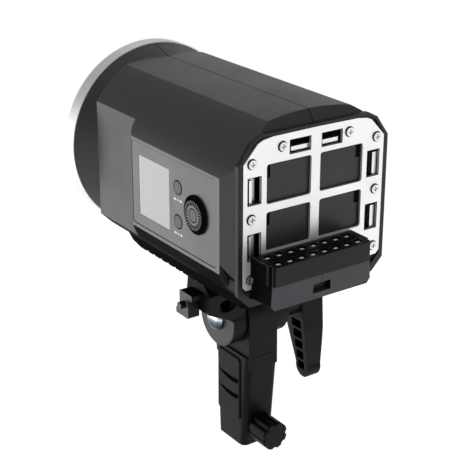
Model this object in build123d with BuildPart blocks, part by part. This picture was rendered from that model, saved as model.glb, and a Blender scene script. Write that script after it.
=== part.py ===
"""Monolight strobe head: body, rear battery dock, control panel, tilt bracket and stand handle.

Frame: +Z up, the light faces -Y, the control panel is on the +X side. The origin is the mouth
of the stand socket, on the handle's axis. All sizes are in millimetres.
"""
import os
from math import cos, radians, sin, sqrt

from build123d import *

os.makedirs("parts", exist_ok=True)

# ---- driving dimensions -------------------------------------------------------------------
light_z = 178.0  # height of the light axis above the stand socket's mouth
plate_y = 66.7  # rear face of the battery plate, behind the handle's axis
body_length = 181.0  # battery plate to the front of the ring

ring_radius = 62.5
ring_length = 11.2
body_radius = 61.8  # the round part of the casing, about the light axis
wall = 2.4

top_height = 56.9  # crowned top, above the light axis
side_flat = 51.4  # half width over the flat sides
bottom_depth = 49.0
bottom_half_width = 43.5
flat_foot = -41.1  # lower edge of the side flats
crown_angle = radians(27.9)  # where the crown meets the round corners
side_valley = 156.8  # where the side flats meet the front collar, in front of the plate
collar_root, collar_root_half = 124.0, 25.0  # the collar's flare, carried on inside the body
rear_band = 3.0  # rear bezel, in front of the plate

pod_x = 56.4  # outer plane of the control panel
pod_front, pod_rear = 109.5, 13.2  # in front of the plate
pod_foot = -31.6
overlay_margin = 3.0

tray_half_width = 40.0
tray_height = 8.5
tray_z = light_z - bottom_depth - tray_height

pivot_z = light_z - 89.1
ear_radius = 18.2
ear_outer, ear_inner = 20.7, 11.8
pad_thickness = 0.8
tongue_half = 10.7
tongue_radius = 19.6
bolt_radius = 4.0
turn_gap = 0.3  # between pieces that turn on each other

block_x = 39.1  # outer face of the umbrella clamp
block_half_depth = 17.2
umbrella_x = 25.6
umbrella_z = light_z - 73.2
umbrella_bore = 4.1
wing_z = umbrella_z + 1.2
wing_y = 2.3

socket_radius = 8.05  # for a 16 mm lighting spigot
socket_depth = 38.0
handle_half = 12.0
shoulder_z = 65.0
stand_knob_z = 13.0

screw_head = 2.6
screw_thread = 1.45

# which way a cylinder runs from its place
upwards = {"align": (Align.CENTER, Align.CENTER, Align.MIN)}
to_left = {"rotation": (0, 90, 0), **upwards}
to_right = {"rotation": (0, -90, 0), **upwards}
to_rear = {"rotation": (-90, 0, 0), **upwards}
to_front = {"rotation": (90, 0, 0), **upwards}


def at(depth):
    """Y of a section that lies this far in front of the battery plate."""
    return plate_y - depth


def section(y, z=light_z):
    """Upright plane across the light axis: local x is +X, local y is +Z, extrudes forwards."""
    return Plane(origin=(0, y, z), x_dir=(1, 0, 0), z_dir=(0, -1, 0))


def left_plane(x, z=light_z):
    """Plane facing +X: local x is +Y, local y is +Z."""
    return Plane(origin=(x, 0, z), x_dir=(0, 1, 0), z_dir=(1, 0, 0))


def right_plane(x, z=light_z):
    """Plane facing -X: local x is -Y, local y is +Z."""
    return Plane(origin=(x, 0, z), x_dir=(0, -1, 0), z_dir=(-1, 0, 0))


def finish(piece, name):
    """Label a finished piece and write it."""
    piece.part.label = name
    export_step(piece.part, f"parts/{name}.step")


def rear_outline(half_width, top, bottom, top_cut, bottom_cut):
    """Corners of the rear end's outline: a rectangle with two-step top corners."""
    cut_x, cut_z = top_cut
    half = [
        (half_width - bottom_cut, bottom), (half_width, bottom + bottom_cut), (half_width, top - cut_z),
        (half_width - 0.56 * cut_x, top - 0.23 * cut_z), (half_width - cut_x, top),
    ]
    return half + [(-x, z) for x, z in reversed(half)]


def casing(inset):
    """Solid form of the casing, drawn in by the inset on every side but its two ends."""
    radius = body_radius - inset
    side = side_flat - inset
    top = top_height - inset
    low = bottom_depth - inset
    foot = flat_foot + 0.4 * inset
    slope = 0.6 * inset
    crown_end = (radius * sin(crown_angle), radius * cos(crown_angle))
    corner_mid = (radius * sin(radians(42)), radius * cos(radians(42)))
    corner_end = (side, sqrt(radius**2 - side**2))
    with BuildPart() as form:
        with BuildSketch(section(at(rear_band))):
            with BuildLine():
                ThreePointArc((-crown_end[0], crown_end[1]), (0, top), crown_end)
                ThreePointArc(crown_end, corner_mid, corner_end)
                Polyline(corner_end, (side, foot), (bottom_half_width - slope, -low), (0, -low))
                Polyline(
                    (0, -low), (slope - bottom_half_width, -low), (-side, foot), (-side, corner_end[1])
                )
                ThreePointArc(
                    (-side, corner_end[1]), (-corner_mid[0], corner_mid[1]), (-crown_end[0], crown_end[1])
                )
            make_face()
        extrude(amount=side_valley - rear_band)
        # the front collar flares to the ring's full round
        with BuildSketch(section(at(collar_root))):
            Ellipse(collar_root_half - inset, low)
        with BuildSketch(section(at(body_length - ring_length))):
            Circle(radius)
        loft()
        # the top slopes down to the rear bezel
        with BuildSketch(left_plane(-70)):
            with BuildLine():
                Polyline(
                    (at(rear_band), 49.6 - inset), (at(8), top + 0.2), (at(8), radius + 20),
                    (at(rear_band), radius + 20), close=True,
                )
            make_face()
        extrude(amount=140, mode=Mode.SUBTRACT)
    return form.part


def panel_pod(inset):
    """Solid form of the raised control panel on the +X side."""
    radius = body_radius - inset
    outer = pod_x - inset
    top = sqrt(radius**2 - outer**2)
    start = radians(60)
    with BuildPart() as form:
        with BuildSketch(section(at(pod_rear - 0.01 + inset))):
            with BuildLine():
                Line((30, 0), (radius * cos(start), radius * sin(start)))
                ThreePointArc(
                    (radius * cos(start), radius * sin(start)),
                    (radius * cos(radians(40)), radius * sin(radians(40))),
                    (outer, top),
                )
                Polyline(
                    (outer, top), (outer, pod_foot + inset / 2), (side_flat - inset, flat_foot + inset / 2),
                    (30, flat_foot + inset / 2), (30, 0),
                )
            make_face()
        extrude(amount=pod_front - pod_rear - 2 * inset)
        front_edge = form.edges().filter_by(Axis.Z).sort_by(Axis.Y)[0:2].sort_by(Axis.X)[-1]
        fillet(front_edge, 4)
    return form.part


def pod_tail(inset):
    """The slope from the panel's rear edge down to the rear bezel."""
    with BuildPart() as form:
        with BuildSketch(Plane.XY.offset(light_z + flat_foot + 1)):
            with BuildLine():
                Polyline(
                    (40, at(pod_rear)), (pod_x - inset, at(pod_rear)), (52.7 - inset, at(rear_band)),
                    (40, at(rear_band)), close=True,
                )
            make_face()
        extrude(amount=80)
        with BuildSketch(section(at(0))):
            Circle(body_radius - inset)
        extrude(amount=20, mode=Mode.INTERSECT)
        with BuildSketch(section(at(0))):
            with BuildLine():
                Polyline(
                    (60, pod_foot), (pod_x - inset, pod_foot), (side_flat - inset, flat_foot + 1),
                    (side_flat - inset, -60), (60, -60), close=True,
                )
            make_face()
        extrude(amount=20, mode=Mode.SUBTRACT)
    return form.part


# ---- casing -------------------------------------------------------------------------------
outer_form = casing(0)
inner_form = casing(wall)
outer_pod = panel_pod(0)
inner_pod = panel_pod(wall)
outer_tail = pod_tail(0)
inner_tail = pod_tail(wall)

lcd_rear, lcd_front, lcd_top, lcd_foot = 65.0, 98.7, 15.8, -22.0
button_depth, button_zs = 55.6, (7.5, -13.5)
dial_depth, dial_z, dial_radius = 36.3, -3.1, 11.6
overlay_x = pod_x - 0.3
overlay_thickness = 1.2
overlay_length = pod_front - pod_rear - 2 * overlay_margin
overlay_mid = (pod_front + pod_rear) / 2
overlay_top, overlay_foot = 23.5, -29.3
tray_screw_ys = (at(130), at(102), at(60), at(32))
tray_screw_x = 30.0

with BuildPart() as left_shell:
    add(outer_form)
    add(outer_pod)
    add(outer_tail)
    add(inner_form, mode=Mode.SUBTRACT)
    add(inner_pod, mode=Mode.SUBTRACT)
    add(inner_tail, mode=Mode.SUBTRACT)
    split(bisect_by=Plane.YZ, keep=Keep.TOP)
    # pocket for the panel overlay
    with BuildSketch(left_plane(overlay_x - overlay_thickness)):
        with Locations((at(overlay_mid), (overlay_top + overlay_foot) / 2)):
            RectangleRounded(overlay_length + 0.2, overlay_top - overlay_foot + 0.2, 2.6)
    extrude(amount=4, mode=Mode.SUBTRACT)
    # openings behind the overlay
    with BuildSketch(left_plane(40)):
        with Locations((at((lcd_rear + lcd_front) / 2), (lcd_top + lcd_foot) / 2)):
            Rectangle(lcd_front - lcd_rear - 3, lcd_top - lcd_foot - 3)
        for z in button_zs:
            with Locations((at(button_depth), z)):
                Circle(4.6)
        with Locations((at(dial_depth), dial_z)):
            Circle(5.2)
    extrude(amount=30, mode=Mode.SUBTRACT)
    # holes for the tray screws and the shell screws
    with Locations([(tray_screw_x, y, light_z - 60) for y in tray_screw_ys]):
        Cylinder(2.1, 30, mode=Mode.SUBTRACT)
finish(left_shell, "left_shell")

with BuildPart() as right_shell:
    add(outer_form)
    add(inner_form, mode=Mode.SUBTRACT)
    split(bisect_by=Plane.YZ, keep=Keep.BOTTOM)
    # seats for the sync socket and the power switch
    with Locations(Plane(origin=(-side_flat, at(60), light_z - 20), x_dir=(0, 1, 0), z_dir=(-1, 0, 0))):
        Cylinder(3.6, 12, mode=Mode.SUBTRACT)
    with BuildSketch(right_plane(-side_flat + 6)):
        with Locations((-at(84), -20)):
            Rectangle(14.4, 20.4)
        # outlet slots in front of the fan
        with Locations((-at(104), 8)):
            with GridLocations(1, 6, 1, 5):
                SlotOverall(26, 2.6)
    extrude(amount=12, mode=Mode.SUBTRACT)
    with Locations([(-tray_screw_x, y, light_z - 60) for y in tray_screw_ys]):
        Cylinder(2.1, 30, mode=Mode.SUBTRACT)
finish(right_shell, "right_shell")

# ---- front ring and lens mount ------------------------------------------------------------
ring_front = at(body_length)
ring_rear = at(body_length - ring_length)
flange_radius, flange_throat = 52.0, 45.0
mount_screw_ring = 54.2
tab_slots = 3

with BuildPart() as front_ring:
    with BuildSketch(section(ring_rear)):
        Circle(ring_radius)
        Circle(flange_radius + 0.05, mode=Mode.SUBTRACT)
    extrude(amount=ring_length)
    chamfer(front_ring.faces().sort_by(Axis.Y)[0].edges(), 0.8)
    with BuildSketch(section(ring_rear)):
        with PolarLocations(mount_screw_ring, 4, start_angle=45):
            Circle(1.25)
    extrude(amount=4.2, mode=Mode.SUBTRACT)
finish(front_ring, "front_ring")

with BuildPart() as mount_plate:
    with BuildSketch(section(ring_front + 4.5)):
        Circle(flange_radius)
        Circle(flange_throat, mode=Mode.SUBTRACT)
        with PolarLocations(47.5, tab_slots, start_angle=90):
            Rectangle(5.6, 17, mode=Mode.SUBTRACT)
    extrude(amount=2.5)
finish(mount_plate, "mount_plate")

with BuildPart() as mount_barrel:
    with BuildSketch(section(ring_rear + 6)):
        Circle(flange_radius)
        Circle(flange_radius - 1.6, mode=Mode.SUBTRACT)
    extrude(amount=ring_length + 6 - 4.5)
    with BuildSketch(section(ring_rear + 2)):
        Circle(56.8)
        Circle(flange_radius - 1.6, mode=Mode.SUBTRACT)
        with PolarLocations(mount_screw_ring, 4, start_angle=45):
            Circle(1.25, mode=Mode.SUBTRACT)
    extrude(amount=2)
finish(mount_barrel, "mount_barrel")

with BuildPart() as mount_screws:
    for angle in range(45, 405, 90):
        x = mount_screw_ring * cos(radians(angle))
        z = mount_screw_ring * sin(radians(angle))
        with Locations(Plane(origin=(x, ring_rear + 2, light_z + z), z_dir=(0, 1, 0))):
            Cylinder(1.25, 6, align=(Align.CENTER, Align.CENTER, Align.MAX))
            Cylinder(1.7, 1.4, **upwards)
finish(mount_screws, "mount_screws")

with BuildPart() as mount_release:
    with BuildSketch(Plane.XY.offset(light_z - 4)):
        with Locations((-47.4, ring_front + 7.8)):
            RectangleRounded(4.8, 4.0, 0.6)
    extrude(amount=8)
finish(mount_release, "mount_release")

# ---- light source -------------------------------------------------------------------------
pan_floor = at(146)
with BuildPart() as reflector_pan:
    with BuildSketch(left_plane(0)):
        with BuildLine():
            Polyline(
                (pan_floor, 9), (pan_floor, 26), (at(166.6), 49.6), (at(168), 49.6),
                (pan_floor - 1.4, 25.2), (pan_floor - 1.4, 9), close=True,
            )
        make_face()
    revolve(axis=Axis((0, 0, light_z), (0, 1, 0)))
    with Locations([(x, pan_floor, light_z - 17) for x in (-7, 7)]):
        Cylinder(4.6, 10, rotation=(90, 0, 0), mode=Mode.SUBTRACT)
finish(reflector_pan, "reflector_pan")

with BuildPart() as lamp_base:
    with BuildSketch(section(pan_floor + 20)):
        Circle(25)
    extrude(amount=19.5)
    with Locations([(x, pan_floor + 5, light_z - 17) for x in (-7, 7)]):
        Cylinder(4.4, 20, rotation=(90, 0, 0), mode=Mode.SUBTRACT)
    with BuildSketch(section(pan_floor + 6)):
        Circle(8.9)
    extrude(amount=10, mode=Mode.SUBTRACT)
finish(lamp_base, "lamp_base")

tube_radius, loop_radius = 4.0, 19.0
loop_gap = radians(22)
loop_y = at(172)
foot_x = loop_radius * sin(loop_gap)
foot_z = light_z - loop_radius * cos(loop_gap)
with BuildPart() as flash_tube:
    for x in (-foot_x, foot_x):
        with Locations((x, (loop_y + pan_floor + 8) / 2, foot_z)):
            Cylinder(tube_radius - 0.6, pan_floor + 8 - loop_y, rotation=(90, 0, 0))
    with BuildSketch(Plane.XY.offset(light_z)):
        with Locations((loop_radius, loop_y)):
            Circle(tube_radius)
    revolve(axis=Axis((0, loop_y, light_z), (0, 1, 0)))
finish(flash_tube, "flash_tube")

with BuildPart() as modelling_led:
    with BuildSketch(section(pan_floor + 6)):
        Circle(8.8)
    extrude(amount=6)
    with BuildSketch(section(pan_floor)):
        Circle(7)
    extrude(amount=3.5)
    fillet(modelling_led.faces().sort_by(Axis.Y)[0].edges(), 1.6)
finish(modelling_led, "modelling_led")

# ---- cooling and electronics --------------------------------------------------------------
fan_y = at(104)
with BuildPart() as heat_sink:
    with Locations((0, at(123.4), light_z)):
        Box(52, 3, 52)
    with Locations((0, at(117), light_z)):
        with GridLocations(6, 1, 8, 1):
            Box(1.6, 10, 50)
finish(heat_sink, "heat_sink")

with BuildPart() as fan_frame:
    with BuildSketch(section(fan_y + 7.5)):
        RectangleRounded(60, 60, 4)
        Circle(28, mode=Mode.SUBTRACT)
    extrude(amount=15)
    with BuildSketch(section(fan_y + 7.5)):
        with PolarLocations(18, 4):
            Rectangle(23, 3)
        Circle(9)
    extrude(amount=1.5)
    with Locations((0, fan_y + 2.4, light_z)):
        Cylinder(2, 8, rotation=(90, 0, 0))
finish(fan_frame, "fan_frame")

with BuildPart() as fan_rotor:
    with BuildSketch(section(fan_y + 5.4)):
        Circle(11)
    extrude(amount=11)
    with BuildSketch(section(fan_y + 4)):
        with PolarLocations(18.6, 7):
            Rectangle(16.4, 3.4, rotation=24)
    extrude(amount=8)
    with Locations((0, fan_y + 2, light_z)):
        Cylinder(2.15, 10, rotation=(90, 0, 0), mode=Mode.SUBTRACT)
finish(fan_rotor, "fan_rotor")

capacitor_radius, capacitor_length = 17.0, 62.0
capacitor_spots = [(-22, -18), (-22, 20), (16, 20)]
with BuildPart() as capacitors:
    for x, z in capacitor_spots:
        with BuildSketch(section(at(24), light_z + z)):
            with Locations((x, 0)):
                Circle(capacitor_radius)
        extrude(amount=capacitor_length)
    chamfer(capacitors.edges().filter_by(GeomType.CIRCLE), 1)
finish(capacitors, "capacitors")

with BuildPart() as power_board:
    with Locations((0, at(58), light_z - 41.5)):
        Box(66, 92, 1.6)
    with Locations((14, at(40), light_z - 32.7)):
        Box(24, 26, 16)
    with Locations((12, at(80), light_z - 34.7)):
        Cylinder(9, 12)
finish(power_board, "power_board")

with BuildPart() as control_board:
    with Locations((46, at(60), light_z - 3)):
        Box(1.6, 88, 46)
    with Locations((43, at(50), light_z)):
        Box(4.4, 18, 18)
finish(control_board, "control_board")

# ---- battery dock -------------------------------------------------------------------------
plate_thickness = 1.5
window_size, window_zs, window_x = (30.85, 23.0), (21.1, -6.7), 18.57
side_slot_zs, side_slot_x, side_slot_size = (18.95, -13.9), 42.2, (9.0, 15.8)
top_slot_x, top_slot_z, top_slot_size = 11.2, 39.8, (14.6, 8.0)
plate_screw_spots = [(23.6, 41.2), (44.05, 34.7), (44.3, 2.8), (44.5, -33.0)]


def both_sides(spots):
    """Each spot and its mirror image about the middle."""
    return [(side * x, z) for x, z in spots for side in (1, -1)]


with BuildPart() as rear_bezel:
    with BuildSketch(section(plate_y - 0.2)):
        Polygon(*rear_outline(52.9, 50.2, -50, (15.4, 15.5), 8), align=None)
    extrude(amount=rear_band - 0.2)
    with BuildSketch(section(plate_y)):
        Polygon(*rear_outline(49.95, 48.4, -45, (12.4, 13.2), 6), align=None)
    extrude(amount=plate_thickness + 0.1, mode=Mode.SUBTRACT)
    # openings behind the windows and the slots, with metal left round each screw
    with BuildSketch(section(plate_y)):
        Rectangle(76, 68)
        with Locations((0, 34)):
            Rectangle(40, 22)
        with Locations(both_sides([(side_slot_x - 0.3, z) for z in side_slot_zs])):
            Rectangle(8.2, 19.4)
    extrude(amount=6, mode=Mode.SUBTRACT)
    with BuildSketch(section(plate_y)):
        with Locations(both_sides(plate_screw_spots)):
            Circle(1.55)
    extrude(amount=6, mode=Mode.SUBTRACT)
finish(rear_bezel, "rear_bezel")

with BuildPart() as battery_plate:
    with BuildSketch(section(plate_y)):
        with BuildLine():
            Polyline(
                (0, -39), (47.4, -39), (49.7, -36.4), (49.7, 35), (40, 45.5), (36.6, 47), (30, 48),
                (0, 48.3),
            )
            mirror(about=Plane.YZ)
        make_face()
        for x in (-window_x, window_x):
            for z in window_zs:
                with Locations((x, z)):
                    RectangleRounded(*window_size, 1.6, mode=Mode.SUBTRACT)
        with Locations(both_sides([(side_slot_x, z) for z in side_slot_zs])):
            Rectangle(*side_slot_size, mode=Mode.SUBTRACT)
        with Locations(both_sides([(top_slot_x, top_slot_z)])):
            Rectangle(*top_slot_size, mode=Mode.SUBTRACT)
        with Locations(both_sides(plate_screw_spots)):
            Circle(1.5, mode=Mode.SUBTRACT)
    extrude(amount=plate_thickness)
finish(battery_plate, "battery_plate")

with BuildPart() as plate_screws:
    for x, z in both_sides(plate_screw_spots):
        with Locations((x, plate_y, light_z + z)):
            Cylinder(screw_head, 1.1, **to_rear)
            Cylinder(screw_thread, 8, **to_front)
    for x, z in both_sides(plate_screw_spots):
        with Locations((x, plate_y + 1.1, light_z + z)):
            Box(3.0, 1.2, 0.7, mode=Mode.SUBTRACT)
            Box(0.7, 1.2, 3.0, mode=Mode.SUBTRACT)
finish(plate_screws, "plate_screws")

screen_depth = 3.4
screen_pocket_size = (3.2, 8.4)
with BuildPart() as window_screens:
    with BuildSketch(section(at(screen_depth - 1.4))):
        for x in (-window_x, window_x):
            for z in window_zs:
                with Locations((x, z)):
                    Rectangle(34.6, 25.6)
    extrude(amount=2.4)
    with BuildSketch(section(at(screen_depth - 1.4))):
        for side in (1, -1):
            for z in window_zs:
                with Locations((side * (window_x + 13.4), z + 7.2)):
                    Rectangle(*screen_pocket_size)
    extrude(amount=1.2, mode=Mode.SUBTRACT)
finish(window_screens, "window_screens")

tongue_depth = 4.6
tongue_offset = 2.2  # the raised lip sits towards the slot's outer side
with BuildPart() as latch_tongues:
    for side in (1, -1):
        for z in side_slot_zs:
            with Locations((side * (side_slot_x + 0.4), at(tongue_depth), light_z + z)):
                Box(6.6, 1.0, 18.6)
            lip_x = side * (side_slot_x + tongue_offset)
            with Locations((lip_x, at(tongue_depth - 1.7), light_z + z - 0.8)):
                Box(3.0, 2.6, 13.6)
        with Locations((side * top_slot_x, at(tongue_depth), light_z + top_slot_z - 0.8)):
            Box(16.0, 1.0, 5.0)
        with Locations((side * (top_slot_x - 0.8), at(tongue_depth - 1.7), light_z + top_slot_z - 1.8)):
            Box(12.4, 2.6, 2.6)
finish(latch_tongues, "latch_tongues")

# ---- battery connector --------------------------------------------------------------------
plug_x = 8.4  # the connector sits off centre, towards the control panel
plug_half = 34.3
plug_top, plug_foot = -19.4, -31.2
lip_foot = -45.8
contact_columns, contact_pitch = 8, 8.1
row_ys = (plate_y + 5.0, plate_y + 15.0)

with BuildPart() as connector_housing:
    # the skirt under the contact block, with its locking notch
    with BuildSketch(section(plate_y + 18.6)):
        with BuildLine():
            Polyline(
                (-plug_half - 0.6, plug_foot), (plug_half + 0.6, plug_foot),
                (plug_half + 1.4, lip_foot + 3), (plug_half - 1, lip_foot),
                (1 - plug_half, lip_foot), (-plug_half - 1.4, lip_foot + 3), close=True,
            )
        make_face()
    extrude(amount=18.6)
    with Locations((0, plate_y + 18.6, light_z - 39.3)):
        Box(12.4, 9, 5.6, mode=Mode.SUBTRACT)
    # side cheeks and the rear frame round the contact block
    with BuildSketch(section(plate_y + 15)):
        for side in (1, -1):
            with Locations((side * (plug_half + 0.9), (plug_top + plug_foot) / 2)):
                Rectangle(1.8, plug_top - plug_foot)
    extrude(amount=15)
    with BuildSketch(section(plate_y + 18.4)):
        for side in (1, -1):
            with Locations((side * (plug_half - 0.1), (plug_top + plug_foot) / 2)):
                Rectangle(1.0, plug_top - plug_foot)
    extrude(amount=3.4)
    # clearance for the heads of the plate's lower screws
    with Locations([(x - plug_x, plate_y, light_z + z) for x, z in both_sides(plate_screw_spots[3:])]):
        Cylinder(screw_head + 0.3, 3, rotation=(-90, 0, 0), mode=Mode.SUBTRACT)
connector_housing.part = connector_housing.part.moved(Location((plug_x, 0, 0)))
finish(connector_housing, "connector_housing")

with BuildPart() as connector_block:
    with BuildSketch(Plane.XY.offset(light_z + plug_foot)):
        with Locations((plug_x, plate_y + 10)):
            Rectangle(2 * plug_half - 1.4, 20)
    extrude(amount=plug_top - plug_foot)
    with Locations((plug_x, plate_y + 10.4, light_z + plug_top)):
        Box(2 * plug_half - 10, 1.6, 2.4, mode=Mode.SUBTRACT)
    for y in row_ys:
        with Locations((plug_x, y, light_z + plug_top)):
            with GridLocations(contact_pitch, 1, contact_columns, 1):
                Box(4.6, 4.6, 9, mode=Mode.SUBTRACT)
finish(connector_block, "connector_block")

with BuildPart() as contact_blades:
    for y in row_ys:
        with Locations((plug_x, y, light_z + plug_top - 2.6)):
            with GridLocations(contact_pitch, 1, contact_columns, 1):
                Box(2.6, 1.6, 3.8)
finish(contact_blades, "contact_blades")

# ---- control panel ------------------------------------------------------------------------
button_radius = 4.05
button_face_x = overlay_x + 0.3

with BuildPart() as panel_overlay:
    with BuildSketch(left_plane(overlay_x - overlay_thickness)):
        with Locations((at(overlay_mid), (overlay_top + overlay_foot) / 2)):
            RectangleRounded(overlay_length, overlay_top - overlay_foot, 2.5)
        with Locations((at((lcd_rear + lcd_front) / 2), (lcd_top + lcd_foot) / 2)):
            Rectangle(lcd_front - lcd_rear, lcd_top - lcd_foot, mode=Mode.SUBTRACT)
        for z in button_zs:
            with Locations((at(button_depth), z)):
                Circle(button_radius + 0.5, mode=Mode.SUBTRACT)
        with Locations((at(dial_depth), dial_z)):
            Circle(5.0, mode=Mode.SUBTRACT)
    extrude(amount=overlay_thickness)
finish(panel_overlay, "panel_overlay")

with BuildPart() as lcd_window:
    with BuildSketch(left_plane(overlay_x - overlay_thickness)):
        with Locations((at((lcd_rear + lcd_front) / 2), (lcd_top + lcd_foot) / 2)):
            Rectangle(lcd_front - lcd_rear - 0.1, lcd_top - lcd_foot - 0.1)
    extrude(amount=overlay_thickness - 0.1)
finish(lcd_window, "lcd_window")

with BuildPart() as lcd_module:
    with BuildSketch(left_plane(47.2)):
        with Locations((at((lcd_rear + lcd_front) / 2), (lcd_top + lcd_foot) / 2)):
            Rectangle(lcd_front - lcd_rear - 3.4, lcd_top - lcd_foot - 3.4)
    extrude(amount=5)
finish(lcd_module, "lcd_module")

for z, name in zip(button_zs, ("button_upper", "button_lower")):
    with BuildPart() as button:
        with BuildSketch(left_plane(button_face_x - 4.4)):
            with Locations((at(button_depth), z)):
                Circle(button_radius)
        extrude(amount=4.4)
        fillet(button.faces().sort_by(Axis.X)[-1].edges(), 0.5)
        with BuildSketch(left_plane(button_face_x - 6.6)):
            with Locations((at(button_depth), z)):
                Circle(1.6)
        extrude(amount=2.4)
    finish(button, name)

dial_face_x = overlay_x + 2.6
dial_foot_x = overlay_x + 0.35
dial_button_radius = 4.0
dial_face_radius = 7.6
dial_ribs = 36
with BuildPart() as select_dial:
    # low ribbed cone with a flat face
    with BuildSketch(left_plane(dial_foot_x)):
        with Locations((at(dial_depth), dial_z)):
            Circle(dial_radius)
    extrude(amount=0.8)
    with BuildSketch(left_plane(dial_foot_x + 0.8)):
        with Locations((at(dial_depth), dial_z)):
            Circle(dial_radius - 0.3)
    with BuildSketch(left_plane(dial_face_x)):
        with Locations((at(dial_depth), dial_z)):
            Circle(dial_face_radius + 1.2)
    loft()
    with BuildSketch(left_plane(dial_foot_x + 0.7)):
        with Locations((at(dial_depth), dial_z)):
            with PolarLocations((dial_radius + dial_face_radius) / 2 + 0.4, dial_ribs):
                Rectangle(dial_radius - dial_face_radius + 0.4, 0.9)
    extrude(amount=4, mode=Mode.SUBTRACT)
    # well for the centre button, and the spindle behind
    with BuildSketch(left_plane(dial_foot_x)):
        with Locations((at(dial_depth), dial_z)):
            Circle(dial_button_radius + 0.4)
    extrude(amount=4, mode=Mode.SUBTRACT)
    with BuildSketch(left_plane(49.4)):
        with Locations((at(dial_depth), dial_z)):
            Circle(4.7)
            Circle(3.3, mode=Mode.SUBTRACT)
    extrude(amount=dial_foot_x - 49.4)
    with BuildSketch(left_plane(dial_foot_x - 0.05)):
        with Locations((at(dial_depth), dial_z)):
            Circle(4.9)
            Circle(3.3, mode=Mode.SUBTRACT)
    extrude(amount=0.35)
finish(select_dial, "select_dial")

with BuildPart() as dial_button:
    with BuildSketch(left_plane(dial_face_x - 1.2)):
        with Locations((at(dial_depth), dial_z)):
            Circle(dial_button_radius - 0.1)
    extrude(amount=1.3)
    fillet(dial_button.faces().sort_by(Axis.X)[-1].edges(), 0.4)
    with BuildSketch(left_plane(49.6)):
        with Locations((at(dial_depth), dial_z)):
            Circle(2.9)
    extrude(amount=dial_face_x - 1.1 - 49.6)
finish(dial_button, "dial_button")

with BuildPart() as sync_jack:
    with BuildSketch(right_plane(-side_flat - 0.4)):
        with Locations((-at(60), -20)):
            Circle(5.0)
            Circle(1.78, mode=Mode.SUBTRACT)
    extrude(amount=0.8)
    with BuildSketch(right_plane(-side_flat + 11)):
        with Locations((-at(60), -20)):
            Circle(3.5)
    extrude(amount=11.4)
    with BuildSketch(right_plane(-side_flat + 9)):
        with Locations((-at(60), -20)):
            Circle(1.78)
    extrude(amount=12, mode=Mode.SUBTRACT)
finish(sync_jack, "sync_jack")

switch_y, switch_z = at(84), light_z - 20
switch_pivot_x = -side_flat + 3.2
switch_pin_radius = 1.0
with BuildPart() as switch_frame:
    with BuildSketch(right_plane(-side_flat + 9)):
        with Locations((-switch_y, -20)):
            Rectangle(14.2, 20.2)
            Rectangle(11.6, 17.6, mode=Mode.SUBTRACT)
    extrude(amount=9)
    with BuildSketch(right_plane(-side_flat)):
        with Locations((-switch_y, -20)):
            RectangleRounded(17, 23, 1.2)
            Rectangle(11.6, 17.6, mode=Mode.SUBTRACT)
    extrude(amount=1.0)
    with Locations((switch_pivot_x, switch_y, switch_z)):
        Cylinder(switch_pin_radius + 0.05, 13.4, rotation=(90, 0, 0), mode=Mode.SUBTRACT)
finish(switch_frame, "switch_frame")

with BuildPart() as power_switch:
    with BuildSketch(Plane(origin=(0, switch_y - 5.4, switch_z), x_dir=(1, 0, 0), z_dir=(0, 1, 0))):
        with BuildLine():
            Polyline(
                (switch_pivot_x + 2.4, 5), (switch_pivot_x - 3.6, 7.9), (switch_pivot_x - 4.0, 0),
                (switch_pivot_x - 3.6, -7.9), (switch_pivot_x + 2.4, -5), close=True,
            )
        make_face()
    extrude(amount=10.8)
    with Locations((switch_pivot_x, switch_y, switch_z)):
        Cylinder(switch_pin_radius, 13.2, rotation=(90, 0, 0))
finish(power_switch, "power_switch")

# ---- base tray and tilt block -------------------------------------------------------------
tray_front, tray_rear = at(145), at(14)
with BuildPart() as base_tray:
    with BuildSketch(left_plane(-tray_half_width, 0)):
        with BuildLine():
            Polyline(
                (tray_rear, tray_z), (at(126), tray_z), (at(136), tray_z + 2.2),
                (tray_front, tray_z + tray_height), (tray_rear, tray_z + tray_height), close=True,
            )
        make_face()
    extrude(amount=2 * tray_half_width)
    with BuildSketch(Plane.XY.offset(tray_z + 2.6)):
        for x in (-1, 1):
            with Locations((x * 19.5, (tray_rear + at(126)) / 2)):
                Rectangle(31, 106)
    extrude(amount=tray_height, mode=Mode.SUBTRACT)
    for x in (-tray_screw_x, tray_screw_x):
        for y in tray_screw_ys:
            with Locations((x, y, tray_z + 2.6)):
                Cylinder(4.2, tray_height - 2.6, **upwards)
            with Locations((x, y, tray_z)):
                Cylinder(2.1, 30, mode=Mode.SUBTRACT)
                Cylinder(3.4, 2 * 2.2, mode=Mode.SUBTRACT)
    # grip ribs along the underside
    with BuildSketch(left_plane(-tray_half_width, 0)):
        for step in range(9):
            with Locations((at(118) + 8 * step, tray_z)):
                Rectangle(2.4, 1.2)
    extrude(amount=2 * tray_half_width, mode=Mode.SUBTRACT)
    add(outer_form, mode=Mode.SUBTRACT)
finish(base_tray, "base_tray")

with BuildPart() as tray_screws:
    for x in (-tray_screw_x, tray_screw_x):
        for y in tray_screw_ys:
            with Locations((x, y, tray_z + 0.2)):
                Cylinder(3.3, 2.0, **upwards)
                Cylinder(2.0, 14, **upwards)
                Cylinder(1.3, 1.2, **upwards, mode=Mode.SUBTRACT)
finish(tray_screws, "tray_screws")

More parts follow.
